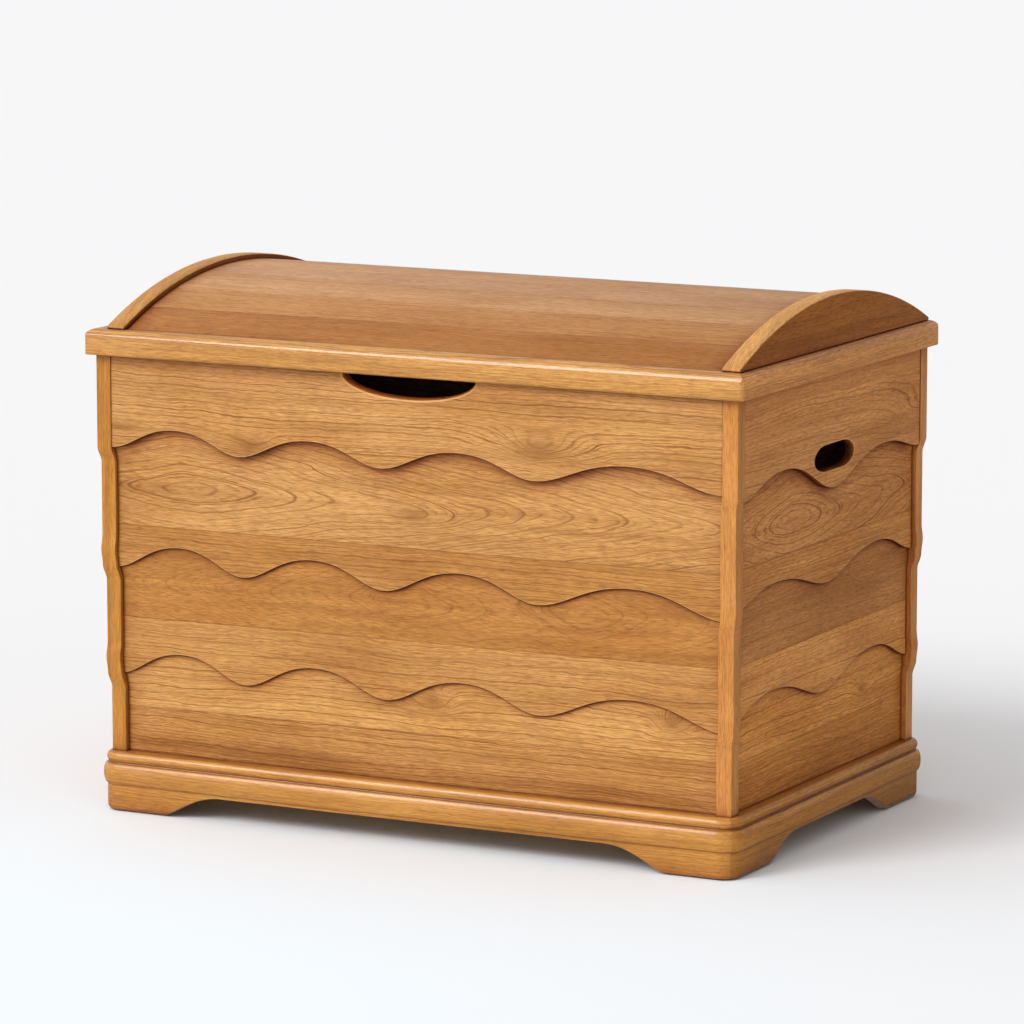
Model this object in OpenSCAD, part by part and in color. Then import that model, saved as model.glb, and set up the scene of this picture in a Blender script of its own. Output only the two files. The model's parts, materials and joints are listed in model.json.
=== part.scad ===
// Wooden toy box with a domed, slatted lid.
// Millimetres. The origin is on the floor at the centre of the box, +X runs along the
// front to the right, +Y goes to the back and +Z is up. The lid is drawn closed.

/* [Chest] */
// Width across the corner posts at the rim
body_width = 818; // [790:2:850]
// Depth across the corner posts at the rim
body_depth = 516; // [500:2:540]
// Height of the rim above the floor
rim_z = 536; // [520:1:560]
// Thickness of every wall board
board_t = 13; // [11:0.5:14]
// How far each post steps in at a board level
post_step = 3.3; // [2:0.1:4]
// Visible width of a corner post
post_w = 18.5; // [17:0.5:22]
// Depth of the groove that holds a board end
tongue = 4; // [3:0.5:5]
// Height of each rounded step on a post
step_h = 18; // [12:1:24]

/* [Scalloped boards] */
// Height where the first scalloped edge meets the posts
level_1 = 428.5; // [424:0.5:434]
// Height where the second scalloped edge meets the posts
level_2 = 290; // [284:0.5:296]
// Height where the third scalloped edge meets the posts
level_3 = 163; // [158:0.5:168]
// Widths of the scallops along the front, left to right, as a share of the panel
front_scallops = [0.217, 0.236, 0.25, 0.297]; // [0.2:0.01:0.3]
// Rise of the scallops on the front, from the top board down
front_rise = [24.5, 27.5, 28]; // [18:0.5:30]
// How far the front edges lie below the level at the posts, from the top board down
front_drop = [0, 2.4, 1.8]; // [0:0.2:3]
// Height of the side edges at the posts above their level, from the top board down
side_end = [-7, 9, 9]; // [-8:0.5:10]
// Height of the crest near the front of each side edge, from the top board down
side_crest_front = [14, 26, 30]; // [12:0.5:34]
// Height of the trough in the middle of each side edge, from the top board down
side_trough = [-23.5, 5, 5]; // [-24:0.5:8]
// Height of the crest near the rear of each side edge, from the top board down
side_crest_rear = [8.5, 32, 34.5]; // [8:0.5:36]

/* [Grips] */
// Width of the finger scoop in the front rim
scoop_w = 168; // [120:2:200]
// Depth of the finger scoop
scoop_h = 25; // [15:1:30]
// Length of each hand hole
grip_w = 106; // [90:1:120]
// Height of each hand hole
grip_h = 29; // [24:1:32]
// Length of the round end of a hand hole
grip_end = 32; // [15:1:40]
// Height of the hand hole's centre above the floor
grip_z = 440.5; // [438:0.5:444]

/* [Plinth] */
// Height of the plinth
plinth_h = 70; // [66:1:76]
// Half of the width across the plinth's feet
foot_x = 408; // [404:0.5:410]
// Half of the depth across the plinth's feet
foot_y = 261; // [258:0.5:263]
// Rounding of the upright corners of the plinth
plinth_r = 22; // [20:1:26]
// Height of the cut-out between the feet
arch_h = 28; // [20:1:30]
// Length of a foot along the front
foot_len_x = 83; // [70:1:110]
// Length of a foot along the side
foot_len_y = 93; // [70:1:110]

/* [Lid] */
// Overhang of the lid past the posts
overhang = 11; // [9:0.5:14]
// Thickness of the flat lid frame
rail_t = 30; // [26:1:34]
// Width of the lid frame members
rail_w = 52; // [50:1:60]
// Rounding of the lid frame's upper outer edge
nose_top = 12; // [3:0.5:13]
// Rounding of the lid frame's lower outer edge
nose_low = 3.5; // [1:0.5:5]
// Rounding of the lid frame's upright corners
corner_r = 7; // [3:0.5:12]
// Rise of the curved end boards above the lid frame
arch_rise = 59; // [55:1:66]
// Thickness of the curved end boards
arch_t = 23; // [20:1:26]
// Distance from the lid's right-hand edge to the curved end board
right_inset = 9; // [6:1:14]
// Distance from the lid's left-hand edge to the curved end board
left_inset = 25; // [6:1:28]
// How far the curved end boards stand proud of the staves
proud = 6; // [3:0.5:8]
// Thickness of the staves
stave_t = 14; // [12:0.5:16]
// Thickness of the metal hinge leaves
leaf_t = 2; // [1.6:0.1:2.4]

/* [Hidden] */

half = [body_width / 2, body_depth / 2];
level = [level_1, level_2, level_3];
// Distance from the face of a post to the face of each board, from the top board down
recess = [1, 5.5, 6.3, 7];
// Underside of the full thickness of each board, and the floor of the carcass
shoulder = [rim_z, 466, 332, 208, 38];
carcass_z = 38;
panel_t = 12;
cleat_h = 12;
cleat_w = 18;

// Lid geometry
lid_x = half[0] + overhang;
lid_y = half[1] + overhang;
rail_top = rim_z + rail_t;
arch_half = lid_y - 4.5;
arch_r = (arch_half * arch_half + arch_rise * arch_rise) / (2 * arch_rise);
dome_z = rail_top + arch_rise - arch_r;
stave_r = arch_r - proud;
stave_end = acos((rail_top - dome_z) / stave_r);
stave_n = 9;
stave_step = 2 * stave_end / stave_n;
stave_gap = 0.004;
stave_left = -lid_x + left_inset + arch_t;
stave_right = lid_x - right_inset - arch_t;

// Hinges
hinge_y = half[1] + 5;
hinge_x = [-250, 0, 250];
hinge_len = [64, 90, 64];
barrel_r = [4.2, 5.4, 4.2];
pin_r = [1.6, 2.4, 1.6];
screw_pitch = [22, 32, 22];
body_screw_y = half[1] - recess[0] - board_t / 2;
lid_screw_y = half[1] - 18;
screw_r = 1.6;
screw_head_r = 3.2;
screw_len = 16;
knuckle_gap = 0.3;
run_gap = 0.05;
fit_gap = 0.02;

// Share of a post step passed at height z, for the step that starts at height top
function eased(t) = t <= 0 ? 0 : (t >= 1 ? 1 : t * t * (3 - 2 * t));
function step_in(z) = post_step * (eased((level[0] - z) / step_h)
    + eased((level[1] - z) / step_h) + eased((level[2] - z) / step_h));
function swell_at(z, base) = (z > base && z < base + 36) ? 0.6 * (1 - cos(10 * (z - base))) : 0;
function post_in(z) = step_in(z) - swell_at(z, level[1]) - swell_at(z, level[2]);
function ring_heights(base, low, high, n) = [for (i = [0:n]) base + low + (high - low) * i / n];
function post_heights() = concat([carcass_z],
    ring_heights(level[2], -step_h, 0, 9), ring_heights(level[2], 4, 36, 8),
    ring_heights(level[1], -step_h, 0, 9), ring_heights(level[1], 4, 36, 8),
    ring_heights(level[0], -step_h, 0, 9), [rim_z]);

// Faces of the post and board at board number k, counted from 0 at the top
function post_face(k, axis) = half[axis] - post_step * k;
function board_face(k, axis) = post_face(k, axis) - recess[k];

// Edge heights of the scalloped boards
function bump(s) = 0.5 - 0.5 * cos(360 * s) + 0.06 * (1 - cos(720 * s));
function front_start(i) = i == 0 ? 0 : front_start(i - 1) + front_scallops[i - 1];
function front_index(u) = u >= front_start(3) ? 3 : (u >= front_start(2) ? 2 : (u >= front_start(1) ? 1 : 0));
function front_share(u) = (u - front_start(front_index(u))) / front_scallops[front_index(u)];
function clamped(u) = min(1, max(0, u));
function front_edge(k, x) = level[k] - front_drop[k] + front_rise[k] * bump(clamped(
    front_share(clamped((x + half[0] - post_w) / (2 * (half[0] - post_w))))));
side_turns = [-240, -134, 0, 141, 240];
function side_heights(k) = [side_end[k], side_crest_front[k], side_trough[k], side_crest_rear[k], side_end[k]];
function side_index(y) = y >= side_turns[3] ? 3 : (y >= side_turns[2] ? 2 : (y >= side_turns[1] ? 1 : 0));
function side_share(y) = let (i = side_index(y)) (y - side_turns[i]) / (side_turns[i + 1] - side_turns[i]);
function half_wave(a, b, t) = a < b ? a + (b - a) * bump(t / 2) : b + (a - b) * bump((1 - t) / 2);
function side_edge(k, y) = level[k]
    + half_wave(side_heights(k)[side_index(y)], side_heights(k)[side_index(y) + 1], clamped(side_share(y)));

// Outline of a corner post seen along one axis, on the side of growing numbers
module post_strip(axis) {
    zs = post_heights();
    outer = [for (z = zs) [half[axis] - post_in(z), z]];
    inner = [for (i = [len(zs) - 1:-1:0]) [half[axis] - post_in(zs[i]) - post_w, zs[i]]];
    polygon(concat(outer, inner));
}

module plain_post() {
    intersection() {
        translate([0, half[1] + 10, 0])
        rotate([90, 0, 0])
        linear_extrude(height = 60)
        post_strip(0);
        translate([half[0] - 50, 0, 0])
        rotate([90, 0, 90])
        linear_extrude(height = 60)
        post_strip(1);
    }
}

// Plan of a board along X whose face looks towards growing Y, at board number k
function end_reach(k, along, depth) = min(post_face(k, along) - post_w + tongue,
    post_face(k, along) - depth);
module board_plan(k, along, across) {
    face = board_face(k, across);
    depth = recess[k] + board_t;
    reach = post_face(k, along) - post_w + tongue;
    tip = end_reach(k, along, depth);
    turn = face - board_t + (reach - tip);
    polygon([[-reach, face], [-reach, turn], [-tip, face - board_t],
        [tip, face - board_t], [reach, turn], [reach, face]]);
}

module board_body(k, along, across) {
    translate([0, 0, shoulder[k + 1]])
    linear_extrude(height = shoulder[k] - shoulder[k + 1])
    board_plan(k, along, across);
}

// Scalloped lip that hangs over the board below
module lip(k, along, across) {
    reach = post_face(k, along) - post_w + tongue;
    n = 96;
    edge = [for (i = [0:n]) let (x = -reach + 2 * reach * i / n)
        [x, along == 0 ? front_edge(k, x) : side_edge(k, -x)]];
    top = shoulder[k + 1];
    translate([0, board_face(k, across), 0])
    rotate([90, 0, 0])
    linear_extrude(height = board_face(k, across) - board_face(k + 1, across))
    polygon(concat(edge, [[reach, top], [-reach, top]]));
}

module wall_board(k, along, across) {
    union() {
        board_body(k, along, across);
        if (k < 3) lip(k, along, across);
    }
}

// A board seen from inside the box, turned to its wall
module front_wall(k) {
    mirror([0, 1, 0]) wall_board(k, 0, 1);
}
module rear_wall(k) {
    wall_board(k, 0, 1);
}
module right_wall(k) {
    rotate([0, 0, -90]) wall_board(k, 1, 0);
}
module left_wall(k) {
    mirror([1, 0, 0]) right_wall(k);
}

// Finger scoop in the rim, an ellipse seen from the front
module scoop() {
    pts = [for (a = [180:6:360]) [scoop_w / 2 * cos(a), rim_z + scoop_h * sin(a)]];
    translate([0, -half[1] + 60, 0])
    rotate([90, 0, 0])
    linear_extrude(height = 80)
    polygon(concat(pts, [[scoop_w / 2, rim_z + 5], [-scoop_w / 2, rim_z + 5]]));
}

// Hand hole through both side walls, with long round ends
module grip() {
    straight = grip_w / 2 - grip_end;
    pts = concat(
        [for (a = [0:6:180]) [grip_h / 2 * cos(a), straight + grip_end * sin(a)]],
        [for (a = [180:6:360]) [grip_h / 2 * cos(a), -straight + grip_end * sin(a)]]);
    translate([-half[0] - 10, 0, grip_z])
    rotate([0, 90, 0])
    linear_extrude(height = body_width + 20)
    polygon(pts);
}

// Distance of the plinth's outline outside the foot face, from the floor up
function foot_round() = [for (a = [0:15:90]) [-7 + 7 * sin(a), 7 - 7 * cos(a)]];
function big_bead(z0, z1) = [for (a = [0:15:180]) [4.5 * sin(a), (z0 + z1) / 2 - (z1 - z0) / 2 * cos(a)]];
function small_bead(z0, z1) = [for (a = [-50:20:90])
    [-5.5 + 6 * cos(a), (z0 + z1) / 2 + (z1 - z0) / 2 * sin(a)]];
function plinth_outline() = concat(foot_round(), big_bead(plinth_h - 38, plinth_h - 13.5),
    [[-1.6, plinth_h - 13]], small_bead(plinth_h - 13.5, plinth_h));

module plinth_profile(depth) {
    polygon(concat([for (p = plinth_outline()) [depth + p[0], p[1]]], [[0, plinth_h], [0, 0]]));
}

// Half corner of the plinth: the wedge from the mitre to the point past
module plinth_corner(past) {
    c = [foot_x - plinth_r, foot_y - plinth_r];
    intersection() {
        translate([c[0], c[1], 0])
        rotate_extrude($fn = 64)
        plinth_profile(plinth_r);
        translate([0, 0, -1])
        linear_extrude(height = plinth_h + 2)
        polygon([c, c + past, c + [40, 40]]);
    }
}

module plinth_bar(reach, face) {
    translate([-reach, face - plinth_r, 0])
    rotate([90, 0, 90])
    linear_extrude(height = 2 * reach)
    plinth_profile(plinth_r);
}

// Opening between two feet: toe is half of its width on the floor
function ogee(s) = arch_h * (s <= 0 ? 0 : (s >= 1 ? 1 : pow(sin(90 * s), 1.15)));
module foot_opening(toe) {
    n = 12;
    run = 76;
    left = [for (i = [0:n]) [-toe + run * i / n, ogee(i / n)]];
    right = [for (i = [n:-1:0]) [toe - run * i / n, ogee(i / n)]];
    rotate([90, 0, 0])
    linear_extrude(height = 200, center = true)
    polygon(concat([[-toe, -5]], left, right, [[toe, -5]]));
}

// The space that the carcass fills inside the plinth
module plinth_core() {
    x = board_face(3, 0);
    y = board_face(3, 1);
    translate([-x, -y, -1])
    cube([2 * x, 2 * y, plinth_h + 2]);
}

module all_posts() {
    for (mx = [0, 1])
        for (my = [0, 1])
            mirror([mx, 0, 0])
            mirror([0, my, 0])
            plain_post();
}

// Plinth piece along the rear
module plinth_long() {
    difference() {
        union() {
            plinth_bar(foot_x - plinth_r, foot_y);
            plinth_corner([0, 40]);
            mirror([1, 0, 0]) plinth_corner([0, 40]);
        }
        plinth_core();
        all_posts();
        translate([0, foot_y, 0]) foot_opening(foot_x - foot_len_x);
    }
}

// Plinth piece along the right-hand side
module plinth_short() {
    difference() {
        union() {
            translate([foot_x - plinth_r, -foot_y + plinth_r, 0])
            mirror([1, -1, 0])
            rotate([90, 0, 90])
            linear_extrude(height = 2 * (foot_y - plinth_r))
            plinth_profile(plinth_r);
            plinth_corner([40, 0]);
            mirror([0, 1, 0]) plinth_corner([40, 0]);
        }
        plinth_core();
        all_posts();
        translate([foot_x, 0, 0]) rotate([0, 0, 90]) foot_opening(foot_y - foot_len_y);
    }
}

module corner_block() {
    x = board_face(3, 0);
    y = board_face(3, 1);
    translate([0, 0, 2])
    linear_extrude(height = carcass_z - 2)
    polygon([[x, y], [x - 46, y], [x, y - 46]]);
}

inner_x = board_face(3, 0) - board_t;
inner_y = board_face(3, 1) - board_t;

// Screw with a countersunk head whose flat top is at the origin, going down
module screw_solid(grow) {
    rotate_extrude($fn = 24)
    polygon([[0, 0], [screw_head_r + grow, 0], [screw_r + grow, -screw_head_r + screw_r],
        [screw_r + grow, -screw_len + 3 - grow], [0, -screw_len - grow]]);
}

module screw() {
    difference() {
        screw_solid(0);
        translate([-2, -0.35, -0.9]) cube([4, 0.7, 1]);
        translate([-0.35, -2, -0.9]) cube([0.7, 4, 1]);
    }
}

module at_body_screws(h) {
    for (i = [-1, 0, 1])
        translate([hinge_x[h] + i * screw_pitch[h], body_screw_y, rim_z])
        children();
}

module at_lid_screws(h) {
    for (i = [-1, 0, 1])
        translate([hinge_x[h] + i * screw_pitch[h], lid_screw_y, rim_z])
        mirror([0, 0, 1])
        children();
}

// Hinges have five knuckles: three on the body leaf, two on the lid leaf
knuckle_n = 5;
function knuckle_len(h) = hinge_len[h] / knuckle_n;

module knuckles(h, first, count) {
    for (i = [0:count - 1])
        translate([hinge_x[h] - hinge_len[h] / 2 + (first + 2 * i) * knuckle_len(h) + knuckle_gap / 2,
            hinge_y, rim_z])
        rotate([0, 90, 0])
        cylinder(h = knuckle_len(h) - knuckle_gap, r = barrel_r[h], $fn = 48);
}

module knuckle_roots(h, first, count, low) {
    for (i = [0:count - 1])
        translate([hinge_x[h] - hinge_len[h] / 2 + (first + 2 * i) * knuckle_len(h) + knuckle_gap / 2,
            hinge_y - barrel_r[h] - 1, rim_z + low])
        cube([knuckle_len(h) - knuckle_gap, barrel_r[h] + 1, leaf_t]);
}

module pin_hole(h) {
    translate([hinge_x[h] - hinge_len[h] / 2 - 1, hinge_y, rim_z])
    rotate([0, 90, 0])
    cylinder(h = hinge_len[h] + 2, r = pin_r[h] + run_gap, $fn = 48);
}

module leaf_plate(h, inner_edge, low, side_gap) {
    translate([hinge_x[h] - hinge_len[h] / 2 - side_gap, inner_edge - side_gap, rim_z + low])
    cube([hinge_len[h] + 2 * side_gap, hinge_y - barrel_r[h] - 0.5 - inner_edge + 2 * side_gap, leaf_t]);
}

body_leaf_edge = half[1] - recess[0] - board_t;
lid_leaf_edge = lid_screw_y - 8;

module body_leaf(h) {
    difference() {
        union() {
            leaf_plate(h, body_leaf_edge, -leaf_t, 0);
            knuckle_roots(h, 0, 3, -leaf_t);
            knuckles(h, 0, 3);
        }
        pin_hole(h);
        at_body_screws(h) screw_solid(fit_gap);
    }
}

module lid_leaf(h) {
    difference() {
        union() {
            leaf_plate(h, lid_leaf_edge, 0, 0);
            knuckle_roots(h, 1, 2, 0);
            knuckles(h, 1, 2);
        }
        pin_hole(h);
        at_lid_screws(h) screw_solid(fit_gap);
    }
}

module hinge_pin(h) {
    translate([hinge_x[h] - hinge_len[h] / 2 - 1.5, hinge_y, rim_z])
    rotate([0, 90, 0])
    union() {
        cylinder(h = hinge_len[h] + 3, r = pin_r[h], $fn = 48);
        cylinder(h = 1.3, r = pin_r[h] + 1, $fn = 48);
        translate([0, 0, hinge_len[h] + 1.7])
        cylinder(h = 1.3, r = pin_r[h] + 1, $fn = 48);
    }
}

// Space for the leaves and barrels in the wood
module body_mortise(h) {
    leaf_plate(h, body_leaf_edge - 1, -leaf_t, fit_gap);
    at_body_screws(h) screw_solid(fit_gap);
}

module lid_mortise(h) {
    leaf_plate(h, lid_leaf_edge, -1, fit_gap);
    leaf_plate(h, lid_leaf_edge, fit_gap, fit_gap);
    at_lid_screws(h) screw_solid(fit_gap);
    translate([hinge_x[h] - hinge_len[h] / 2 - fit_gap, hinge_y - barrel_r[h] - 1, rim_z - 1])
    cube([hinge_len[h] + 2 * fit_gap, barrel_r[h] + 1, leaf_t + 1 + fit_gap]);
    translate([hinge_x[h] - hinge_len[h] / 2 - 2, hinge_y, rim_z])
    rotate([0, 90, 0])
    cylinder(h = hinge_len[h] + 4, r = barrel_r[h] + 0.5, $fn = 48);
}

// Flat frame of the lid, with a rounded outer edge and mitred corners
function nosing() = concat(
    [for (a = [0:15:90]) [nose_low * (1 - sin(a)), nose_low * (1 - cos(a))]],
    [for (a = [0:15:90]) [nose_top * (1 - cos(a)), rail_t - nose_top * (1 - sin(a))]]);

module rail_profile(depth) {
    polygon(concat([for (p = nosing()) [depth - p[0], p[1]]], [[0, rail_t], [0, 0]]));
}

// Outline of the lid frame with rounded corners
module frame_outline(x, y) {
    polygon([for (k = [[1, 1, 0], [-1, 1, 90], [-1, -1, 180], [1, -1, 270]])
        for (a = [0:15:90])
            [k[0] * (x - corner_r) + corner_r * cos(a + k[2]),
             k[1] * (y - corner_r) + corner_r * sin(a + k[2])]]);
}

// Frame member along X with its outer face at y = face, reaching the corners at x = reach
module lid_rail(reach, face) {
    inner = [reach - rail_w, face - rail_w];
    translate([0, 0, rim_z])
    intersection() {
        translate([-reach, inner[1], 0])
        rotate([90, 0, 90])
        linear_extrude(height = 2 * reach)
        rail_profile(rail_w);
        translate([0, 0, -1])
        linear_extrude(height = rail_t + 2)
        polygon([[-inner[0], inner[1]], [-reach - 1, face + 1], [reach + 1, face + 1], inner]);
        translate([0, 0, -1])
        linear_extrude(height = rail_t + 2)
        frame_outline(reach, face);
    }
}

module long_rail() {
    lid_rail(lid_x, lid_y);
}

module short_rail() {
    mirror([1, -1, 0]) lid_rail(lid_y, lid_x);
}

module below_rails() {
    translate([-lid_x - 10, -arch_r - 10, dome_z - arch_r - 10])
    cube([2 * lid_x + 20, 2 * arch_r + 20, rail_top + fit_gap - dome_z + arch_r + 10]);
}

// Curved end board that starts at x, cut off square where the lid frame starts to round over
module end_arch(x) {
    end = lid_y - nose_top;
    intersection() {
        translate([x, 0, dome_z])
        rotate([0, 90, 0])
        cylinder(h = arch_t, r = arch_r, $fn = 180);
        translate([x - 1, -end, rail_top + fit_gap])
        cube([arch_t + 2, 2 * end, arch_rise + 1]);
    }
}

// Stave number i, counted from the front
module stave(i) {
    difference() {
        translate([stave_left, 0, dome_z])
        rotate([0, 90, 0])
        rotate([0, 0, 180 + stave_end - stave_step * i])
        rotate_extrude(angle = stave_step - stave_gap, $fn = 360)
        translate([stave_r - stave_t, 0])
        square([stave_t, stave_right - stave_left]);
        if (i == 1 || i == stave_n) below_rails();
    }
}

// Nodes
module rear_right_post() {
    color("#b9793d")
    difference() {
        plain_post();
        for (k = [0:3]) rear_wall(k);
        for (k = [0:3]) right_wall(k);
    }
}
module rear_left_post() {
    color("#b9793d")
    difference() {
        mirror([1, 0, 0]) plain_post();
        for (k = [0:3]) rear_wall(k);
        for (k = [0:3]) left_wall(k);
    }
}
module front_right_post() {
    color("#b9793d")
    difference() {
        mirror([0, 1, 0]) plain_post();
        for (k = [0:3]) front_wall(k);
        for (k = [0:3]) right_wall(k);
    }
}
module front_left_post() {
    color("#b9793d")
    difference() {
        mirror([1, 0, 0]) mirror([0, 1, 0]) plain_post();
        for (k = [0:3]) front_wall(k);
        for (k = [0:3]) left_wall(k);
    }
}

module front_board_1() {
    color("#d9a561")
    difference() {
        front_wall(0);
        scoop();
    }
}
module front_board_2() {
    color("#cf9a56") front_wall(1);
}
module front_board_3() {
    color("#c8904d") front_wall(2);
}
module front_board_4() {
    color("#d09b58") front_wall(3);
}
module rear_board_1() {
    color("#d9a561")
    difference() {
        rear_wall(0);
        for (h = [0:2]) body_mortise(h);
    }
}
module rear_board_2() {
    color("#cf9a56") rear_wall(1);
}
module rear_board_3() {
    color("#c8904d") rear_wall(2);
}
module rear_board_4() {
    color("#d09b58") rear_wall(3);
}
module left_board_1() {
    color("#c58c4c")
    difference() {
        left_wall(0);
        grip();
    }
}
module left_board_2() {
    color("#bd8343")
    difference() {
        left_wall(1);
        grip();
    }
}
module left_board_3() {
    color("#b87d3f") left_wall(2);
}
module left_board_4() {
    color("#bd8344") left_wall(3);
}
module right_board_1() {
    color("#c58c4c")
    difference() {
        right_wall(0);
        grip();
    }
}
module right_board_2() {
    color("#bd8343")
    difference() {
        right_wall(1);
        grip();
    }
}
module right_board_3() {
    color("#b87d3f") right_wall(2);
}
module right_board_4() {
    color("#bd8344") right_wall(3);
}

module bottom_panel() {
    color("#d8b98a")
    translate([-inner_x, -inner_y, carcass_z + cleat_h])
    cube([2 * inner_x, 2 * inner_y, panel_t]);
}
module rear_cleat() {
    color("#c79a64")
    translate([-inner_x + cleat_w, inner_y - cleat_w, carcass_z])
    cube([2 * (inner_x - cleat_w), cleat_w, cleat_h]);
}
module front_cleat() {
    color("#c79a64")
    translate([-inner_x + cleat_w, -inner_y, carcass_z])
    cube([2 * (inner_x - cleat_w), cleat_w, cleat_h]);
}
module right_cleat() {
    color("#c79a64")
    translate([inner_x - cleat_w, -inner_y, carcass_z])
    cube([cleat_w, 2 * inner_y, cleat_h]);
}
module left_cleat() {
    color("#c79a64")
    translate([-inner_x, -inner_y, carcass_z])
    cube([cleat_w, 2 * inner_y, cleat_h]);
}

module plinth_rear() {
    color("#b9793d") plinth_long();
}
module plinth_front() {
    color("#b9793d") mirror([0, 1, 0]) plinth_long();
}
module plinth_right() {
    color("#ad6f37") plinth_short();
}
module plinth_left() {
    color("#ad6f37") mirror([1, 0, 0]) plinth_short();
}
module rear_right_block() {
    color("#c79a64") corner_block();
}
module rear_left_block() {
    color("#c79a64") mirror([1, 0, 0]) corner_block();
}
module front_right_block() {
    color("#c79a64") mirror([0, 1, 0]) corner_block();
}
module front_left_block() {
    color("#c79a64") mirror([1, 0, 0]) mirror([0, 1, 0]) corner_block();
}

module lid_front_rail() {
    color("#cc9450") mirror([0, 1, 0]) long_rail();
}
module lid_rear_rail() {
    color("#cc9450")
    difference() {
        long_rail();
        for (h = [0:2]) lid_mortise(h);
    }
}
module lid_right_rail() {
    color("#c58c4c") short_rail();
}
module lid_left_rail() {
    color("#c58c4c") mirror([1, 0, 0]) short_rail();
}
module lid_right_arch() {
    color("#a9682f") end_arch(stave_right);
}
module lid_left_arch() {
    color("#a9682f") end_arch(stave_left - arch_t);
}
module lid_stave_1() {
    color("#b06f37") stave(1);
}
module lid_stave_2() {
    color("#c08547") stave(2);
}
module lid_stave_3() {
    color("#cf9a56") stave(3);
}
module lid_stave_4() {
    color("#b97a42") stave(4);
}
module lid_stave_5() {
    color("#c48a4b") stave(5);
}
module lid_stave_6() {
    color("#b97a42") stave(6);
}
module lid_stave_7() {
    color("#cf9a56") stave(7);
}
module lid_stave_8() {
    color("#c08547") stave(8);
}
module lid_stave_9() {
    color("#b06f37") stave(9);
}

module left_hinge_body_leaf() {
    color("#b8b4aa") body_leaf(0);
}
module centre_hinge_body_leaf() {
    color("#b8b4aa") body_leaf(1);
}
module right_hinge_body_leaf() {
    color("#b8b4aa") body_leaf(2);
}
module left_hinge_lid_leaf() {
    color("#b8b4aa") lid_leaf(0);
}
module centre_hinge_lid_leaf() {
    color("#b8b4aa") lid_leaf(1);
}
module right_hinge_lid_leaf() {
    color("#b8b4aa") lid_leaf(2);
}
module left_hinge_pin() {
    color("#8f8f92") hinge_pin(0);
}
module centre_hinge_pin() {
    color("#8f8f92") hinge_pin(1);
}
module right_hinge_pin() {
    color("#8f8f92") hinge_pin(2);
}
module body_hinge_screws() {
    color("#a4a29c")
    for (h = [0:2]) at_body_screws(h) screw();
}
module lid_hinge_screws() {
    color("#a4a29c")
    for (h = [0:2]) at_lid_screws(h) screw();
}

front_left_post();
front_right_post();
rear_left_post();
rear_right_post();
front_board_1();
front_board_2();
front_board_3();
front_board_4();
rear_board_1();
rear_board_2();
rear_board_3();
rear_board_4();
left_board_1();
left_board_2();
left_board_3();
left_board_4();
right_board_1();
right_board_2();
right_board_3();
right_board_4();
bottom_panel();
front_cleat();
rear_cleat();
left_cleat();
right_cleat();
plinth_front();
plinth_rear();
plinth_left();
plinth_right();
front_left_block();
front_right_block();
rear_left_block();
rear_right_block();
lid_front_rail();
lid_rear_rail();
lid_left_rail();
lid_right_rail();
lid_left_arch();
lid_right_arch();
lid_stave_1();
lid_stave_2();
lid_stave_3();
lid_stave_4();
lid_stave_5();
lid_stave_6();
lid_stave_7();
lid_stave_8();
lid_stave_9();
left_hinge_body_leaf();
centre_hinge_body_leaf();
right_hinge_body_leaf();
left_hinge_lid_leaf();
centre_hinge_lid_leaf();
right_hinge_lid_leaf();
left_hinge_pin();
centre_hinge_pin();
right_hinge_pin();
body_hinge_screws();
lid_hinge_screws();
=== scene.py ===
"""Wooden toy box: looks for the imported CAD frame. Metres, Z up, front towards -Y."""
import json
import math

import bmesh
import bpy
from mathutils import Matrix, Vector


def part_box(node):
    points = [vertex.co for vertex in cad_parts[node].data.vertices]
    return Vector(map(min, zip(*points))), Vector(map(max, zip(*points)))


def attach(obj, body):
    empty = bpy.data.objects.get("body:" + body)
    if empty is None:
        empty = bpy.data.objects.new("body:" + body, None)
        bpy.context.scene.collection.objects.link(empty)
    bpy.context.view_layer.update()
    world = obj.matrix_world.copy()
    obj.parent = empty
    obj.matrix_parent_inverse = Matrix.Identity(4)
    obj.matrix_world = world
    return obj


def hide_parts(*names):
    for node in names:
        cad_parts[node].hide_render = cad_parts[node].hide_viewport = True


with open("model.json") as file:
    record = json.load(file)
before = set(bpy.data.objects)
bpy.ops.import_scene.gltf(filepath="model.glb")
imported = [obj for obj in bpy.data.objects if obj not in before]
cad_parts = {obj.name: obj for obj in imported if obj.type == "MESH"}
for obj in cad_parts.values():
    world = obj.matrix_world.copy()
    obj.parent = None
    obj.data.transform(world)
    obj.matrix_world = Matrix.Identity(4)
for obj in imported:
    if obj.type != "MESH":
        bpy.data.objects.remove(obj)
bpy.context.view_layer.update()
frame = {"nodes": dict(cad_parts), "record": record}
NODES = frame["nodes"]
BODY = {n: b for b, ns in frame["record"]["behaviour"]["bodies"].items() for n in ns}
OPENING = {o["name"]: o["box_m"] for o in frame["record"]["physics"]["openings"]}
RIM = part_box("front_board_1")[1][2]
scene = bpy.context.scene


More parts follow.
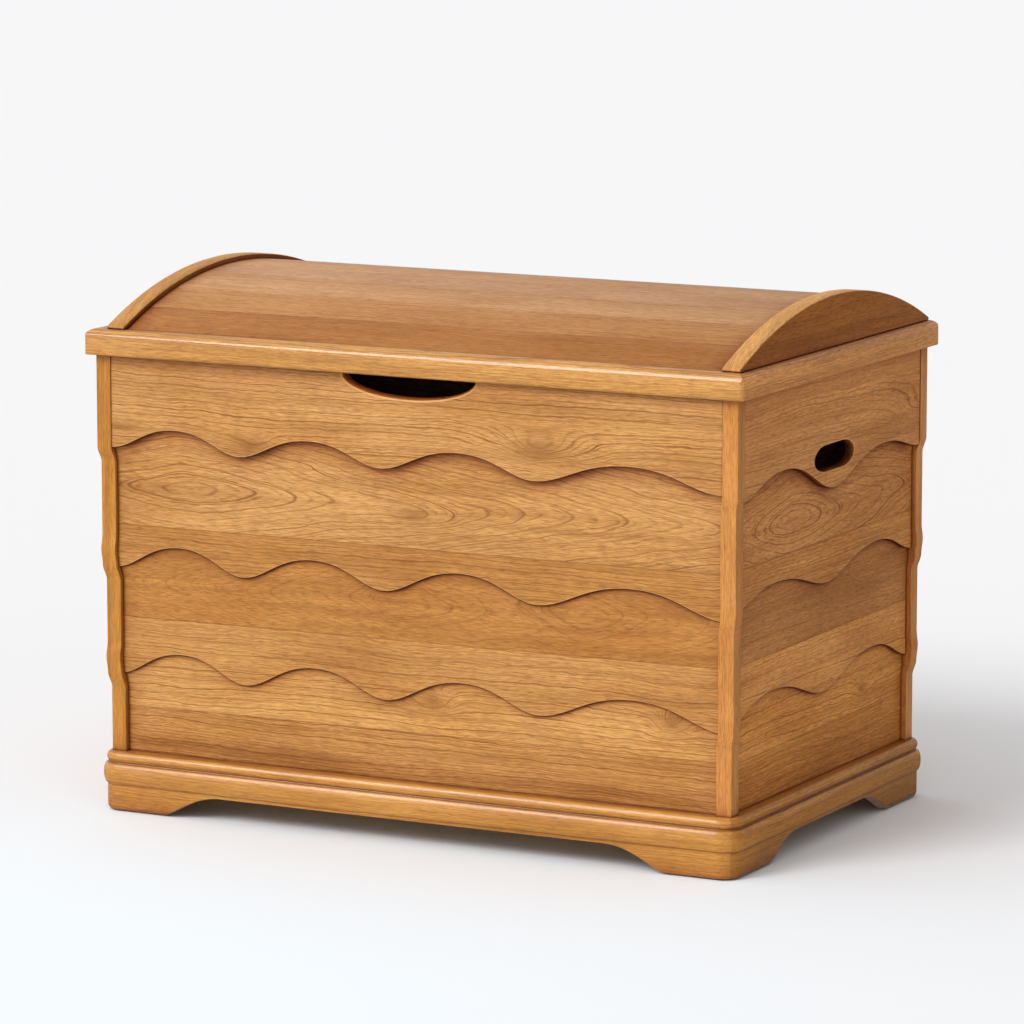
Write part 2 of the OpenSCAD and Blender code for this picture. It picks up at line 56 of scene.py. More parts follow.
# ---------------------------------------------------------------- node helpers
class Graph:
    """Short calls for building a shader."""

    def __init__(self, name):
        self.mat = bpy.data.materials.new(name)
        self.mat.use_nodes = True
        self.tree = self.mat.node_tree
        self.shader = self.tree.nodes["Principled BSDF"]

    def node(self, kind, **values):
        n = self.tree.nodes.new(kind)
        for k, v in values.items():
            setattr(n, k, v)
        return n

    def put(self, socket, value):
        if isinstance(value, bpy.types.NodeSocket):
            self.tree.links.new(value, socket)
        elif value is not None:
            socket.default_value = value

    def math(self, op, a, b=None, c=None):
        n = self.node("ShaderNodeMath", operation=op)
        for i, v in enumerate((a, b, c)):
            self.put(n.inputs[i], v)
        return n.outputs[0]

    def add(self, a, b):
        return self.math("ADD", a, b)

    def sub(self, a, b):
        return self.math("SUBTRACT", a, b)

    def mul(self, a, b):
        return self.math("MULTIPLY", a, b)

    def vec(self, x, y, z):
        n = self.node("ShaderNodeCombineXYZ")
        for i, v in enumerate((x, y, z)):
            self.put(n.inputs[i], v)
        return n.outputs[0]

    def noise(self, vector, scale=1.0, detail=2.0, rough=0.5):
        n = self.node("ShaderNodeTexNoise", noise_dimensions="3D")
        self.put(n.inputs["Vector"], vector)
        n.inputs["Scale"].default_value = scale
        n.inputs["Detail"].default_value = detail
        n.inputs["Roughness"].default_value = rough
        return n.outputs["Fac"]

    def span(self, value, a, b, lo=0.0, hi=1.0, smooth=True):
        n = self.node("ShaderNodeMapRange", clamp=True)
        n.interpolation_type = "SMOOTHSTEP" if smooth else "LINEAR"
        self.put(n.inputs["Value"], value)
        n.inputs["From Min"].default_value = a
        n.inputs["From Max"].default_value = b
        n.inputs["To Min"].default_value = lo
        n.inputs["To Max"].default_value = hi
        return n.outputs["Result"]

    def mix(self, fac, a, b, blend="MIX"):
        n = self.node("ShaderNodeMix", data_type="RGBA", blend_type=blend)
        self.put(n.inputs[0], fac)
        self.put(n.inputs[6], tuple(a) + (1,) if isinstance(a, tuple) else a)
        self.put(n.inputs[7], tuple(b) + (1,) if isinstance(b, tuple) else b)
        return n.outputs[2]

    def bump(self, height, strength, distance):
        n = self.node("ShaderNodeBump")
        n.inputs["Strength"].default_value = strength
        n.inputs["Distance"].default_value = distance
        self.put(n.inputs["Height"], height)
        return n.outputs["Normal"]


def srgb(r, g, b):
    """Linear colour for an 8-bit screen colour."""
    return tuple((c / 255 / 12.92) if c <= 10 else ((c / 255 + 0.055) / 1.055) ** 2.4 for c in (r, g, b))


def seeded(i):
    """A repeatable number from 0 to 1 for a piece."""
    return (math.sin(i * 12.9898 + 4.1414) * 43758.5453) % 1.0


# ---------------------------------------------------------------- wood
class Plank:
    """How one plank was sawn. Places are shares of the board's length and height.

    eyes: (along, up, left, right) middles of pointed oval figures; left and right are how fast the
        figure narrows towards each end
    knots: (along, up, length, height, push) places where the grain swells round a knot
    ring: width between the strong growth rings, in metres
    line: strength of the growth rings; wave: how much the grain bends
    """

    def __init__(self, eyes=(), knots=(), ring=0.0100, line=1.0, wave=1.0):
        self.eyes, self.knots, self.ring, self.line, self.wave = eyes, knots, ring, line, wave


PLAIN = Plank()
LONG_SWELL = 0.08  # a knot longer than this, in metres, only bends the grain
EYE_TIP = 0.00013  # how blunt the middle of an eye is, in square metres
THIN_RING = 0.43  # width of the faint rings, as a share of the strong ones
# What a plank's tone is multiplied by for the wood between the rings, in the rings and in the pores
BETWEEN, RING_TINT, PORE_TINT = (1.30, 1.30, 1.30), (0.46, 0.32, 0.20), (0.30, 0.18, 0.10)
# Reach of the shade in metres: the wide one in nooks, the fine one in creases; then their tints
NOOK_REACH, CREASE_REACH = 0.026, 0.0028
NOOK_TINT, CREASE_TINT = (0.42, 0.17, 0.06), (0.28, 0.09, 0.03)
CREASE_STRENGTH = 0.92
# painted shade inside the hand hole
HOLE_SHADE_TINT = (0.10, 0.05, 0.03)
HEART_STRENGTH = 0.6


def place(box, axes, share):
    """Metres along the board and up its face for a place given in shares of its box."""
    return [box[0][a] + s * (box[1][a] - box[0][a]) for a, s in zip(axes, share)]


def ring_field(g, u, v, plank, box, axes):
    """Distance, in metres, from the middle of the growth rings; straight grain counts from height 0."""
    field = None
    for along, up, left, right in plank.eyes:
        u0, v0 = place(box, axes, (along, up))
        a, b = g.sub(u, u0), g.sub(v, v0)
        across = g.math("SQRT", g.add(g.mul(b, b), EYE_TIP))
        oval = g.add(across, g.math("SMOOTH_MAX", g.mul(a, right), g.mul(a, -left), 0.022))
        field = oval if field is None else g.math("SMOOTH_MIN", field, oval, 0.014)
    if field is None:
        field = v
    for along, up, length, height, push in plank.knots:
        u0, v0 = place(box, axes, (along, up))
        a, b = g.mul(g.sub(u, u0), 1 / length), g.mul(g.sub(v, v0), 1 / height)
        swell = g.math("EXPONENT", g.mul(g.add(g.mul(a, a), g.mul(b, b)), -1.0))
        field = g.add(field, g.mul(swell, push))
    return field


def knot_hearts(g, u, v, plank, box, axes):
    """Darkness at the heart of each knot; a long swell has none."""
    total = None
    for along, up, length, height, _ in plank.knots:
        if length > LONG_SWELL:
            continue
        u0, v0 = place(box, axes, (along, up))
        a, b = g.mul(g.sub(u, u0), 1.9 / length), g.mul(g.sub(v, v0), 1.9 / height)
        heart = g.math("EXPONENT", g.mul(g.add(g.mul(a, a), g.mul(b, b)), -1.0))
        total = heart if total is None else g.add(total, heart)
    return total


def ring_lines(g, field, ring, us, vs, start, least, offset):
    """Dark late-wood lines: start is where in the ring they begin, least the strength of the weakest."""
    drift = g.noise(g.vec(g.mul(us, 5.0), g.mul(vs, 40.0), offset), 1.0, 1.0)
    t = g.add(g.mul(field, 1 / ring), g.mul(drift, 0.8))
    phase = g.math("FRACT", t)
    year = g.node("ShaderNodeTexWhiteNoise", noise_dimensions="1D")
    g.put(year.inputs["W"], g.add(g.math("FLOOR", t), offset))
    rise = g.span(phase, start, 0.92)
    fall = g.span(phase, 0.93, 1.0, 1.0, 0.0)
    return g.mul(g.mul(rise, fall), g.add(g.mul(year.outputs["Value"], 1.0 - least), least))


def nook_shade(g, distance, amount, power=1.0):
    """How far a point lies in a nook, from 0 to amount."""
    air = g.node("ShaderNodeAmbientOcclusion", samples=6)
    air.inputs["Distance"].default_value = distance
    closed = g.span(air.outputs["AO"], 0.45, 0.98, 1.0, 0.0, smooth=False)
    return g.mul(g.math("POWER", closed, power), amount)


def shades(tone):
    """Colours of a plank between the rings, in the rings and in the pores."""
    base = srgb(*tone)
    return [tuple(c * k for c, k in zip(base, tint)) for tint in (BETWEEN, RING_TINT, PORE_TINT)]


def squareness(g, normal, axis):
    """How squarely a face looks along an axis, from 0 to 1."""
    turned = g.node("ShaderNodeSeparateXYZ")
    g.put(turned.inputs[0], normal)
    return g.math("ABSOLUTE", turned.outputs[axis])


def rim_highlight_and_edge_tint(g, colour, straight, tint, tone, rim_highlight):
    """The colour with a painted highlight along its rounded edges, and its narrow faces tinted darker:
    partly their end grain, partly painted shade.
    """
    rim = g.mul(g.span(straight, 0.999, 0.96), g.span(straight, 0.70, 0.90))
    pale = tuple(min(c * 1.5 + 0.04, 1.0) for c in srgb(*tone))
    colour = g.mix(g.mul(rim, rim_highlight), colour, pale)
    tinted = g.mix(1.0, colour, tint, "MULTIPLY")
    return g.mix(g.span(straight, 0.90, 0.70), colour, tinted)


def under_lip(g, nook, u, v, box, axes):
    """Nook shade kept to the upper part of a board: it fades at the board's ends and foot."""
    low, high = box[0][axes[0]], box[1][axes[0]]
    middle, half = (low + high) / 2, (high - low) / 2
    off_middle = g.math("ABSOLUTE", g.sub(u, middle))
    nook = g.mul(nook, g.span(off_middle, half - 0.030, half - 0.006, 1.0, 0.3))
    foot = box[0][axes[1]]
    return g.mul(nook, g.span(v, foot + 0.028, foot + 0.060, 0.12, 1.0))


def wood(name, node, axes, seed, tones, planks=(PLAIN,), glue=None, gloss=0.0, rough=0.50,
         fine=1.0, shine=0.16, rim_highlight=0.0, edge=None, hole=None, through=1.0, coat_rough=0.14,
         bands=0.36, dusk=(0.5, 0.5), lipped=False):
    """Lacquered oak. axes: along the grain, across the face, into the board. glue: (height share, lean).

    rim_highlight: how pale the rounded edges are painted, a painted highlight; edge: tint of a board's
    narrow faces, partly their end grain and partly painted shade, and how much the nooks darken them; hole:
    depths between which the narrow faces darken towards the inside, a painted shade; through: how fast the
    grain changes into the board; bands: strength of the broad streaks; dusk: strength and power of the
    shade in the nooks; lipped: whether that shade lies only under the board above."""
    g = Graph(name)
    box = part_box(node)
    coordinates = g.node("ShaderNodeTexCoord")
    split = g.node("ShaderNodeSeparateXYZ")
    g.put(split.inputs[0], coordinates.outputs["Object"])
    u, v, w = (split.outputs[i] for i in axes)
    lower = None
    if glue is not None:
        seam = g.add(g.sub(v, place(box, axes, (0.5, glue[0]))[1]), g.mul(u, -glue[1]))
        lower = g.math("LESS_THAN", seam, 0.0)
    shift = 7.0 * seeded(seed)
    us = g.add(u, shift) if lower is None else g.add(g.add(u, shift), g.mul(lower, 3.17))
    vs = g.add(g.add(v, 5.0 * seeded(seed + 31)), g.mul(w, 0.6))
    # slow bends and small ripples of the grain
    bend = g.sub(g.noise(g.vec(g.mul(us, 3.1), g.mul(vs, 9.0), 0.0), 1.0, 2.0, 0.5), 0.5)
    ripple = g.sub(g.noise(g.vec(g.mul(us, 26.0), g.mul(vs, 60.0), 0.0), 1.0, 2.0, 0.6), 0.5)
    bent = g.add(g.mul(bend, 0.022 * planks[0].wave), g.mul(ripple, 0.0052 * planks[0].wave))
    v1 = g.add(v, bent)
    stretch = g.sub(g.noise(g.vec(g.mul(us, 9.0), g.mul(vs, 14.0), 4.0), 1.0, 1.0), 0.5)
    u1 = g.add(u, g.mul(stretch, 0.07))
    broken = g.span(g.noise(g.vec(g.mul(us, 13.0), g.mul(vs, 170.0), 2.0), 1.0, 2.0), 0.36, 0.60, 0.15, 1.0)
    weight = []
    for p in planks:
        field = ring_field(g, u1, v1, p, box, axes)
        strong = g.mul(ring_lines(g, field, p.ring, us, vs, 0.83, 0.1, 0.0), p.line)
        thin = g.mul(ring_lines(g, field, p.ring * THIN_RING, us, vs, 0.60, 0.3, 9.0), broken)
        thin = g.mul(thin, 0.85 * p.line)
        weight.append(g.math("MAXIMUM", strong, thin))
    line = weight[0] if lower is None else g.add(weight[0], g.mul(lower, g.sub(weight[-1], weight[0])))
    # fibres, broad streaks and pores drawn out along the grain
    flow = g.add(vs, bent)
    fibre = g.noise(g.vec(g.mul(us, 70.0), g.mul(flow, 980.0), g.mul(w, 980.0 * through)), 1.0, 2.0, 0.6)
    streak = g.noise(g.vec(g.mul(us, 4.0), g.mul(flow, 95.0), g.mul(w, 95.0 * through)), 1.0, 3.0, 0.6)
    cells = g.noise(g.vec(g.mul(us, 70.0), g.mul(flow, 1000.0), g.mul(w, 1000.0 * through)), 1.0, 1.0, 0.5)
    pores = g.span(cells, 0.57, 0.66)
    cloud = g.noise(g.vec(g.mul(us, 5.0), g.mul(vs, 13.0), g.mul(w, 13.0)), 1.0, 2.0, 0.55)

    light, dark, deep = shades(tones[0])
    if lower is not None:
        low_light, low_dark, _ = shades(tones[-1])
        light, dark = g.mix(lower, light, low_light), g.mix(lower, dark, low_dark)
    colour = g.mix(line, light, dark)
    colour = g.mix(g.span(streak, 0.36, 0.72, 0.0, bands), colour, dark)
    colour = g.mix(g.span(fibre, 0.36, 0.66, 0.0, 0.42 * fine), colour, dark)
    colour = g.mix(g.mul(pores, 0.32 * fine), colour, deep)
    warm = g.mix(g.span(cloud, 0.30, 0.70), (0.93, 0.88, 0.80), (1.06, 1.09, 1.14))
    colour = g.mix(1.0, colour, warm, "MULTIPLY")
    for p in planks:
        hearts = knot_hearts(g, u, v1, p, box, axes)
        if hearts is not None:
            colour = g.mix(g.mul(hearts, HEART_STRENGTH), colour, dark)
    if lower is not None:
        colour = g.mix(g.span(g.math("ABSOLUTE", seam), 0.0002, 0.0009, 0.45, 0.0), colour, deep)
    if edge:
        tint, tint_nook = edge
        straight = squareness(g, coordinates.outputs["Normal"], axes[2])
        # painted highlight on the rounded edges; the narrow faces darker, partly end grain and partly
        # painted shade
        colour = rim_highlight_and_edge_tint(g, colour, straight, tint, tones[0], rim_highlight)
    # painted shade: the narrow faces of the hand hole darken with depth into the board
    if hole:
        outer = max((box[0][axes[2]], box[1][axes[2]]), key=abs)
        inward = g.span(g.math("ABSOLUTE", g.sub(w, outer)), *hole)
        inside = g.mix(1.0, colour, HOLE_SHADE_TINT, "MULTIPLY")
        colour = g.mix(g.mul(inward, g.span(straight, 0.8, 0.5)), colour, inside)
    # painted shade: the nooks and the creases are darkened by how closed in they are
    shaded = g.mix(1.0, colour, NOOK_TINT, "MULTIPLY")
    nook = nook_shade(g, NOOK_REACH, *dusk)
    if lipped:
        nook = under_lip(g, nook, u, v, box, axes)
    if edge:
        nook = g.mul(nook, g.span(straight, 0.60, 0.90, tint_nook, 1.0))
    colour = g.mix(nook, colour, shaded)
    crease = g.mix(1.0, colour, CREASE_TINT, "MULTIPLY")
    colour = g.mix(nook_shade(g, CREASE_REACH, CREASE_STRENGTH), colour, crease)
    g.put(g.shader.inputs["Base Color"], colour)
    g.put(g.shader.inputs["Roughness"], g.add(g.mul(fibre, 0.14), g.add(g.mul(pores, 0.10), rough - 0.07)))
    height = g.sub(g.mul(fibre, 0.5), g.add(g.mul(pores, 0.8), g.mul(line, 0.5)))
    g.put(g.shader.inputs["Normal"], g.bump(height, 0.3, 0.0005))
    g.shader.inputs["IOR"].default_value = 1.5
    g.shader.inputs["Specular IOR Level"].default_value = shine
    g.shader.inputs["Coat Weight"].default_value = gloss
    g.shader.inputs["Coat Roughness"].default_value = coat_rough
    return g.mat


def metal(name, colour, along=0):
    """Brushed plated steel with fine drawn lines."""
    g = Graph(name)
    where = g.node("ShaderNodeTexCoord").outputs["Object"]
    split = g.node("ShaderNodeSeparateXYZ")
    g.put(split.inputs[0], where)
    axes = [split.outputs[i] for i in range(3)]
    scaled = [g.mul(a, 60.0 if i == along else 2600.0) for i, a in enumerate(axes)]
    lines = g.noise(g.vec(*scaled), 1.0, 3.0, 0.6)
    cloud = g.noise(where, 90.0, 3.0, 0.5)
    dull = tuple(c * 0.72 for c in colour)
    g.put(g.shader.inputs["Base Color"], g.mix(g.span(cloud, 0.35, 0.7, 0.0, 0.5), colour, dull))
    g.put(g.shader.inputs["Roughness"], g.add(g.mul(lines, 0.18), g.span(cloud, 0.3, 0.7, 0.20, 0.30)))
    g.put(g.shader.inputs["Normal"], g.bump(lines, 0.15, 0.0001))
    g.shader.inputs["Metallic"].default_value = 1.0
    return g.mat


# ---------------------------------------------------------------- pieces
SHARP = math.radians(28.0)


def is_mitre(normal):
    return abs(abs(normal.x) - abs(normal.y)) < 0.01 and abs(normal.z) < 0.01


def build(node, material, radius, segments=3, band=None):
    """A rounded copy of a CAD node. radius(edge middle, direction, normals) gives each rounding in metres.

    band, if given, is the material of the faces that don't look sideways."""
    bm = bmesh.new()
    bm.from_mesh(NODES[node].data)
    bmesh.ops.remove_doubles(bm, verts=bm.verts, dist=2e-6)
    bmesh.ops.dissolve_limit(bm, angle_limit=math.radians(0.35), verts=bm.verts, edges=bm.edges)
    bm.normal_update()
    layer = bm.edges.layers.float.new("bevel_weight_edge")
    sizes = {}
    for e in bm.edges:
        if len(e.link_faces) != 2:
            continue
        a, b = (f.normal for f in e.link_faces)
        if a.angle(b, 0.0) < SHARP:
            continue
        middle = (e.verts[0].co + e.verts[1].co) / 2
        size = 0.0
        if not (is_mitre(a) or is_mitre(b)):
            size = radius(middle, (e.verts[1].co - e.verts[0].co).normalized(), (a, b))
        sizes[e] = size
        e.smooth = size > 0.0
    widest = max(sizes.values(), default=0.0)
    for e, size in sizes.items():
        e[layer] = size / widest if widest > 0.0 else 0.0
    for f in bm.faces:
        f.smooth = True
        f.material_index = 1 if band and abs(f.normal.x) < 0.7 else 0
    mesh = bpy.data.meshes.new("look_" + node)
    bm.to_mesh(mesh)
    bm.free()
    piece = bpy.data.objects.new("look_" + node, mesh)
    scene.collection.objects.link(piece)
    if widest > 0.0:
        mod = piece.modifiers.new("round", "BEVEL")
        mod.limit_method = "WEIGHT"
        mod.width = widest
        mod.segments = segments
        mod.harden_normals = True
        mod.miter_outer = "MITER_ARC"
    mesh.materials.append(material)
    if band:
        mesh.materials.append(band)
    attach(piece, BODY[node])
    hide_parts(node)
    return piece


def even(size):
    return lambda middle, direction, normals: size


def faces(normals, direction, least=0.7):
    """How many of an edge's two faces look in a direction."""
    return sum(n.dot(direction) > least for n in normals)


def near(point, name, margins):
    """Whether a point lies in or just around one of the record's openings."""
    low, high = OPENING[name]
    return all(low[i] - m < point[i] < high[i] + m for i, m in enumerate(margins))


OUTWARD = {"front": Vector((0, -1, 0)), "rear": Vector((0, 1, 0)), "left": Vector((-1, 0, 0)),
           "right": Vector((1, 0, 0))}


def board_rounding(side):
    out = OUTWARD[side]

    def radius(middle, direction, normals):
        if faces(normals, out) == 1:
            in_scoop = side == "front" and near(middle, "finger_scoop", (0.03, 0.03, 0.03))
            if in_scoop and middle.z < RIM - 0.0005 and max(n.z for n in normals) > 0.05:
                return 0.0045
            if side in ("left", "right") and near(middle, side + "_hand_hole", (0.03, 0.028, 0.004)):
                return 0.0042
            return 0.0012
        return 0.0005
    return radius


def post_rounding(node):
    sides = [OUTWARD[w] for w in node.split("_")[:2]]

    def radius(middle, direction, normals):
        looking = [sum(n.dot(s) > 0.7 for s in sides) for n in normals]
        if looking == [1, 1] and normals[0].angle(normals[1]) > 1.2:
            return 0.0034
        if sum(looking) == 1 and abs(direction.z) > 0.7:
            return 0.0012
        return 0.0
    return radius


# The pale and the brown end of the oak on the front and on the sides, as 8-bit screen colours; the sides'
# oak is redder and a little darker, a painted shade as on the side out of the light
FRONT_OAK = ((190, 140, 82), (174, 120, 60))
SHADED_SIDE_OAK = ((190, 130, 70), (176, 118, 62))
AMBER = (0.0, -2.5, -10.0)  # what one step towards amber adds


def front_oak(depth, amber=0.0, ends=FRONT_OAK):
    """Tone of a plank: depth 0 is the pale end of its oak and 1 the brown end; amber makes it yellower."""
    return tuple(p + (b - p) * depth + a * amber for p, b, a in zip(*ends, AMBER))


def side_oak(depth, amber=0.0):
    return front_oak(depth, amber, SHADED_SIDE_OAK)


# The lid's staves from the front edge to the middle, which is paler and greyer, a painted sheen; the rear
# mirrors them
HALF_LID = [front_oak(1.9, -1.0), front_oak(1.0, -1.2), front_oak(0.4, -1.9), front_oak(0.6, -2.8),
            front_oak(0.4, -1.9)]
# Tone of each piece; a second tone is the lower plank, or the outer band of a curved end board. A curved
# end board's dark face and pale band are painted shade and painted light on one oak.
TONES = {
    "front_board_1": [front_oak(0.0)],
    "front_board_2": [front_oak(0.0), front_oak(0.6)],
    "front_board_3": [front_oak(1.0), front_oak(0.3)],
    "front_board_4": [front_oak(-0.4, 0.6), front_oak(0.5)],
    "right_board_1": [side_oak(0.0)],
    "right_board_2": [side_oak(0.0), side_oak(0.0, 0.5)],
    "right_board_3": [side_oak(1.0), side_oak(-1.0, 0.4)],
    "right_board_4": [side_oak(-0.8, 1.1), side_oak(0.1, 1.2)],
    "bottom_panel": [(214, 176, 122)],
    "other": [(196, 150, 98)],
}
for way, front_post, rear_post in (("right", side_oak(0.0, 0.8), side_oak(-0.3, 0.4)),
                                   ("left", front_oak(0.5, 2.1), front_oak(0.5, 2.1))):
    TONES["front_" + way + "_post"] = [front_post]
    TONES["rear_" + way + "_post"] = [rear_post]
    TONES["lid_" + way + "_rail"] = [side_oak(-0.6, 0.5)]
    # the end board: a dark copy for its face, painted shade, and a pale copy for its band, painted light
    TONES["lid_" + way + "_arch"] = [front_oak(2.7, -0.6), front_oak(-0.3, 0.7)]
    TONES["plinth_" + way] = [front_oak(0.7, 2.0)]
for way in ("front", "rear"):
    TONES["lid_" + way + "_rail"] = [front_oak(-0.1, 1.1)]
    TONES["plinth_" + way] = [front_oak(0.2, 1.8)]
for i, tone in enumerate(HALF_LID + HALF_LID[-2::-1], 1):
    TONES["lid_stave_%d" % i] = [tone]
FIGURES = {
    "front_board_1": [Plank(knots=[(0.24, 0.17, 0.046, 0.016, 0.014), (0.71, 0.30, 0.060, 0.024, 0.034),
                                   (0.02, 0.24, 0.050, 0.012, 0.0)], ring=0.0088, line=1.3)],
    "front_board_2": [Plank(eyes=[(0.12, 0.57, 0.18, 0.150)], knots=[(0.50, 0.52, 0.040, 0.016, -0.010)],
                            ring=0.0092), Plank()],
    "front_board_3": [Plank(eyes=[(0.50, 0.66, 0.30, 0.24), (0.78, 0.72, 0.3, 0.3)], line=0.45), Plank()],
    "front_board_4": [Plank(knots=[(0.53, 0.75, 0.024, 0.015, 0.026), (0.92, 0.77, 0.026, 0.017, 0.030)],
                            line=1.1), Plank(ring=0.0080, line=1.3)],
    "right_board_1": [Plank(knots=[(1.02, 0.44, 0.100, 0.034, 0.040)])],
    "right_board_2": [Plank(eyes=[(0.30, 0.50, 0.24, 0.17)]), Plank()],
    "right_board_3": [Plank(line=0.6), Plank()],
    "right_board_4": [Plank(knots=[(0.75, 0.68, 0.022, 0.014, 0.016)]), Plank()],
}
# Strength and power of the shade in the nooks: under the rim, under a board's lip and at the staves
RIM_DUSK, LIP_DUSK, STAVE_DUSK = (0.40, 0.7), (0.92, 0.36), (0.75, 0.5)
# Tint of a board's narrow faces, partly their end grain and partly painted shade, and how much the nooks
# darken them
SCOOP_EDGE, BOARD_EDGE = ((0.50, 0.29, 0.11), 0.15), ((0.42, 0.28, 0.18), 0.6)
# Height of the glue line at mid-length, as a share of the board, and how much it climbs per metre
GLUE = {"2": (0.291, 0.002), "3": (0.416, 0.0068), "4": (0.52, 0.0058)}
# Depths between which the hand hole's walls darken, a painted shade, in the two boards it passes through
HOLE_DEPTHS = {"1": (0.001, 0.012), "2": (0.0, 0.003)}


def partner(node):
    """Pieces out of the photograph's sight take the look of the piece across the box."""
    return node.replace("rear_", "front_").replace("left_", "right_") if "board" in node else node


for i, node in enumerate(sorted(NODES)):
    lengthwise = 0 if ("front" in node or "rear" in node or "stave" in node) else 1
    name = "wood_" + node
    tones = TONES.get(node) or TONES.get(partner(node)) or TONES["other"]
    if "leaf" in node or "pin" in node or "screws" in node:
        build(node, metal("metal_" + node, (0.60, 0.59, 0.56)), even(0.0002), 2)
    elif "stave" in node:
        look = wood(name, node, (0, 1, 2), i, tones, [Plank(ring=0.012, line=0.5)], bands=0.14,
                    dusk=STAVE_DUSK)
        build(node, look, even(0.0003), 2)
    elif "rail" in node:
        axes = (lengthwise, 2, 1 - lengthwise)
        look = wood(name, node, axes, i, tones, [Plank(ring=0.0080, line=0.8, wave=0.5)], gloss=0.5)
        build(node, look, even(0.0))
    elif "arch" in node:
        # painted shade on the side faces, painted light on the band
        face = wood(name, node, (1, 2, 0), i, tones[:1], [Plank(ring=0.010, line=0.6)])
        band = wood(name + "_band", node, (1, 0, 2), i + 70, tones[1:], [Plank(ring=0.008, line=0.5)],
                    through=0.03)
        build(node, face, even(0.0016), 3, band)
    elif "post" in node:
        look = wood(name, node, (2, 0, 1), i, tones, [Plank(ring=0.0090, line=0.4, wave=0.3)], gloss=0.45,
                    fine=0.8)
        build(node, look, post_rounding(node), 4)
    elif "plinth" in node:
        axes = (lengthwise, 2, 1 - lengthwise)
        look = wood(name, node, axes, i, tones, [Plank(ring=0.0090, line=0.7, wave=0.5)], gloss=0.55,
                    fine=0.8, coat_rough=0.24)
        build(node, look, even(0.0012))
    elif "board" in node:
        axes = (lengthwise, 2, 1 - lengthwise)
        planks = FIGURES[partner(node)] if partner(node) in FIGURES else [PLAIN]
        edge = SCOOP_EDGE if node == "front_board_1" else BOARD_EDGE
        hole = HOLE_DEPTHS.get(node[-1]) if lengthwise == 1 else None
        top = node.endswith("1")
        look = wood(name, node, axes, i, tones, planks, GLUE.get(node[-1]), rim_highlight=0.6, edge=edge, hole=hole,
                    dusk=RIM_DUSK if top else LIP_DUSK, lipped=not top)
        build(node, look, board_rounding(node.split("_")[0]), 4)
    else:
        build(node, wood(name, node, (lengthwise, 1 - lengthwise, 2), i, tones), even(0.0008))


# ---------------------------------------------------------------- studio
KEY = Vector((-0.320, -0.720, 0.616))  # towards the main light, front left and above
sun_data = bpy.data.lights.new("key", "SUN")
sun_data.energy = 1.57
sun_data.angle = math.radians(27)
sun = bpy.data.objects.new("key", sun_data)
sun.rotation_euler = (-KEY).to_track_quat("-Z", "Y").to_euler()
scene.collection.objects.link(sun)
sun.visible_glossy = False  # the tall soft box below gives the highlights

# tall narrow soft box, front left: its mirror image lies along the rounded edges
BOX_WAY = Vector((-0.45, -0.641, 0.641)).normalized()
BOX_AWAY = 12.0
BOX_LONG = Vector((0.0, 0.707, 0.707))
BOX_WIDE = BOX_LONG.cross(BOX_WAY).normalized()
BOX_LONG = BOX_WAY.cross(BOX_WIDE)
strip_data = bpy.data.lights.new("strip", "AREA")
strip_data.shape = "RECTANGLE"
strip_data.size, strip_data.size_y = 3.4, 6.7
strip_data.energy = 1050.0
strip = bpy.data.objects.new("strip", strip_data)
turn = Matrix((BOX_WIDE, BOX_LONG, BOX_WAY)).transposed().to_4x4()
strip.matrix_world = Matrix.Translation(BOX_AWAY * BOX_WAY) @ turn
strip.visible_diffuse = False
strip.visible_camera = False
scene.collection.objects.link(strip)

floor_mesh = bpy.data.meshes.new("floor")
floor_mesh.from_pydata([(-60, -60, 0), (60, -60, 0), (60, 60, 0), (-60, 60, 0)], [], [(0, 1, 2, 3)])
floor = bpy.data.objects.new("floor", floor_mesh)
scene.collection.objects.link(floor)
paper = Graph("pale_floor")
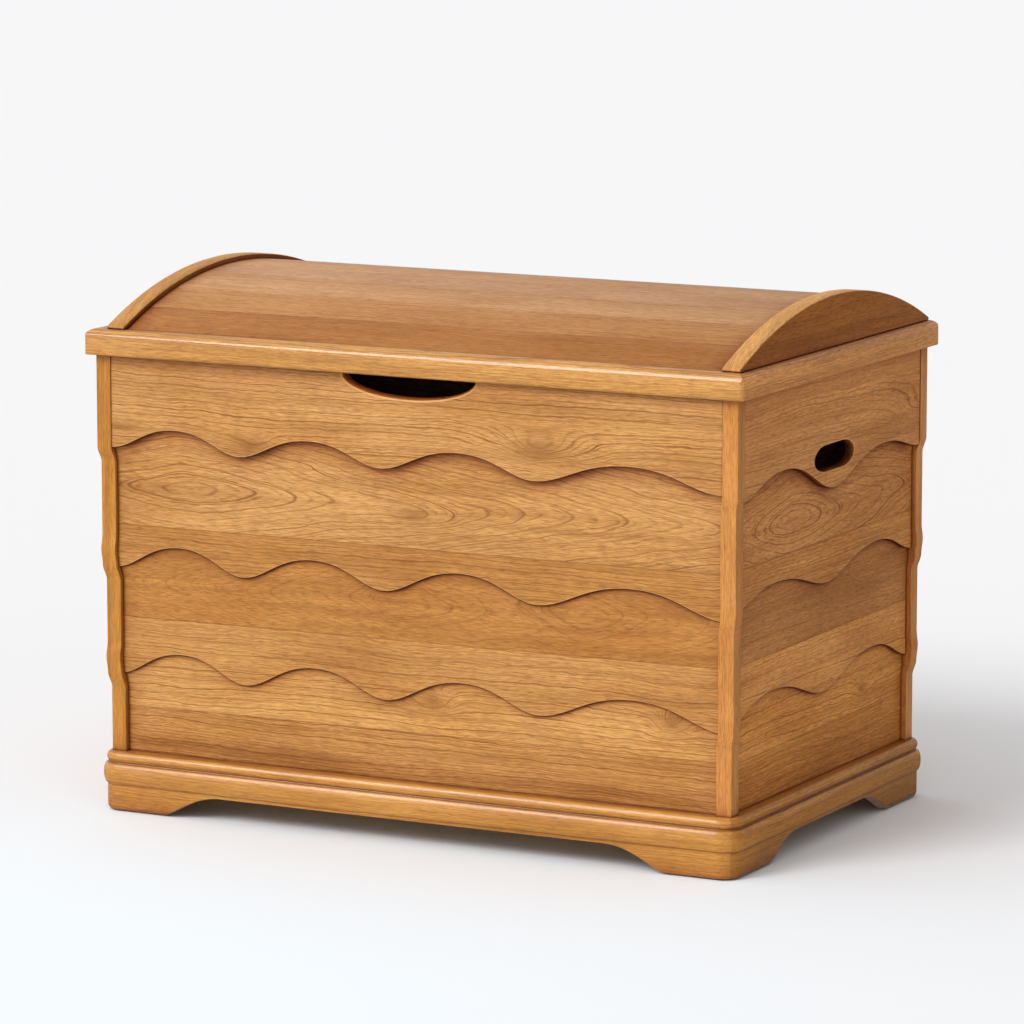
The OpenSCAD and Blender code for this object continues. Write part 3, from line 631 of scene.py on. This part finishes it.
# cooler in front of the box, where the wood throws warm light, and plain beyond the reach of that light
COOL_MIDDLE, COOL_REACH = (-0.1, -0.75, 0.0), 1.45
COOL_PAPER, PLAIN_PAPER = (0.85, 0.915, 0.965), (0.85, 0.85, 0.86)
reach = paper.node("ShaderNodeVectorMath", operation="DISTANCE")
paper.put(reach.inputs[0], paper.node("ShaderNodeTexCoord").outputs["Object"])
reach.inputs[1].default_value = COOL_MIDDLE
away = paper.span(reach.outputs["Value"], 0.0, COOL_REACH)
paper.put(paper.shader.inputs["Base Color"], paper.mix(away, COOL_PAPER, PLAIN_PAPER))
paper.shader.inputs["Roughness"].default_value = 0.9
paper.shader.inputs["Specular IOR Level"].default_value = 0.0
floor_mesh.materials.append(paper.mat)
floor.visible_glossy = False  # lacquer mirrors the dim room below the horizon, not the white paper

# soft room light, stronger from the front and the left
world = bpy.data.worlds.new("studio")
scene.world = world
world.use_nodes = True
tree = world.node_tree
where = tree.nodes.new("ShaderNodeTexCoord")
slope = tree.nodes.new("ShaderNodeVectorMath")
slope.operation = "DOT_PRODUCT"
tree.links.new(where.outputs["Generated"], slope.inputs[0])
slope.inputs[1].default_value = (-0.30, -0.30, 0.0)
level = tree.nodes.new("ShaderNodeMath")
tree.links.new(slope.outputs["Value"], level.inputs[0])
level.inputs[1].default_value = 0.785
split = tree.nodes.new("ShaderNodeSeparateXYZ")
tree.links.new(where.outputs["Generated"], split.inputs[0])
horizon = tree.nodes.new("ShaderNodeMapRange")
tree.links.new(split.outputs[2], horizon.inputs["Value"])
for key, value in (("From Min", -0.12), ("From Max", 0.0), ("To Min", 0.3), ("To Max", 1.0)):
    horizon.inputs[key].default_value = value
dimmed = tree.nodes.new("ShaderNodeMath")
dimmed.operation = "MULTIPLY"
tree.links.new(level.outputs[0], dimmed.inputs[0])
tree.links.new(horizon.outputs["Result"], dimmed.inputs[1])
tree.links.new(dimmed.outputs[0], tree.nodes["Background"].inputs["Strength"])
tree.nodes["Background"].inputs["Color"].default_value = (1.0, 1.0, 1.0, 1)

# the photograph's camera, found from the box's straight edges
CAMERA_PLACE, CAMERA_DOWN, CAMERA_TURN, CAMERA_LENS = (2.95107, -5.64203, 1.38483), 9.274, 27.637, 194.66
camera_data = bpy.data.cameras.new("camera")
camera = bpy.data.objects.new("camera", camera_data)
scene.collection.objects.link(camera)
camera.location = CAMERA_PLACE
camera.rotation_euler = (math.radians(90 - CAMERA_DOWN), 0.0, math.radians(CAMERA_TURN))
camera_data.lens = CAMERA_LENS
camera_data.sensor_width = 36.0
camera_data.clip_start, camera_data.clip_end = 0.1, 200.0
scene.camera = camera
scene.view_settings.view_transform = "Standard"
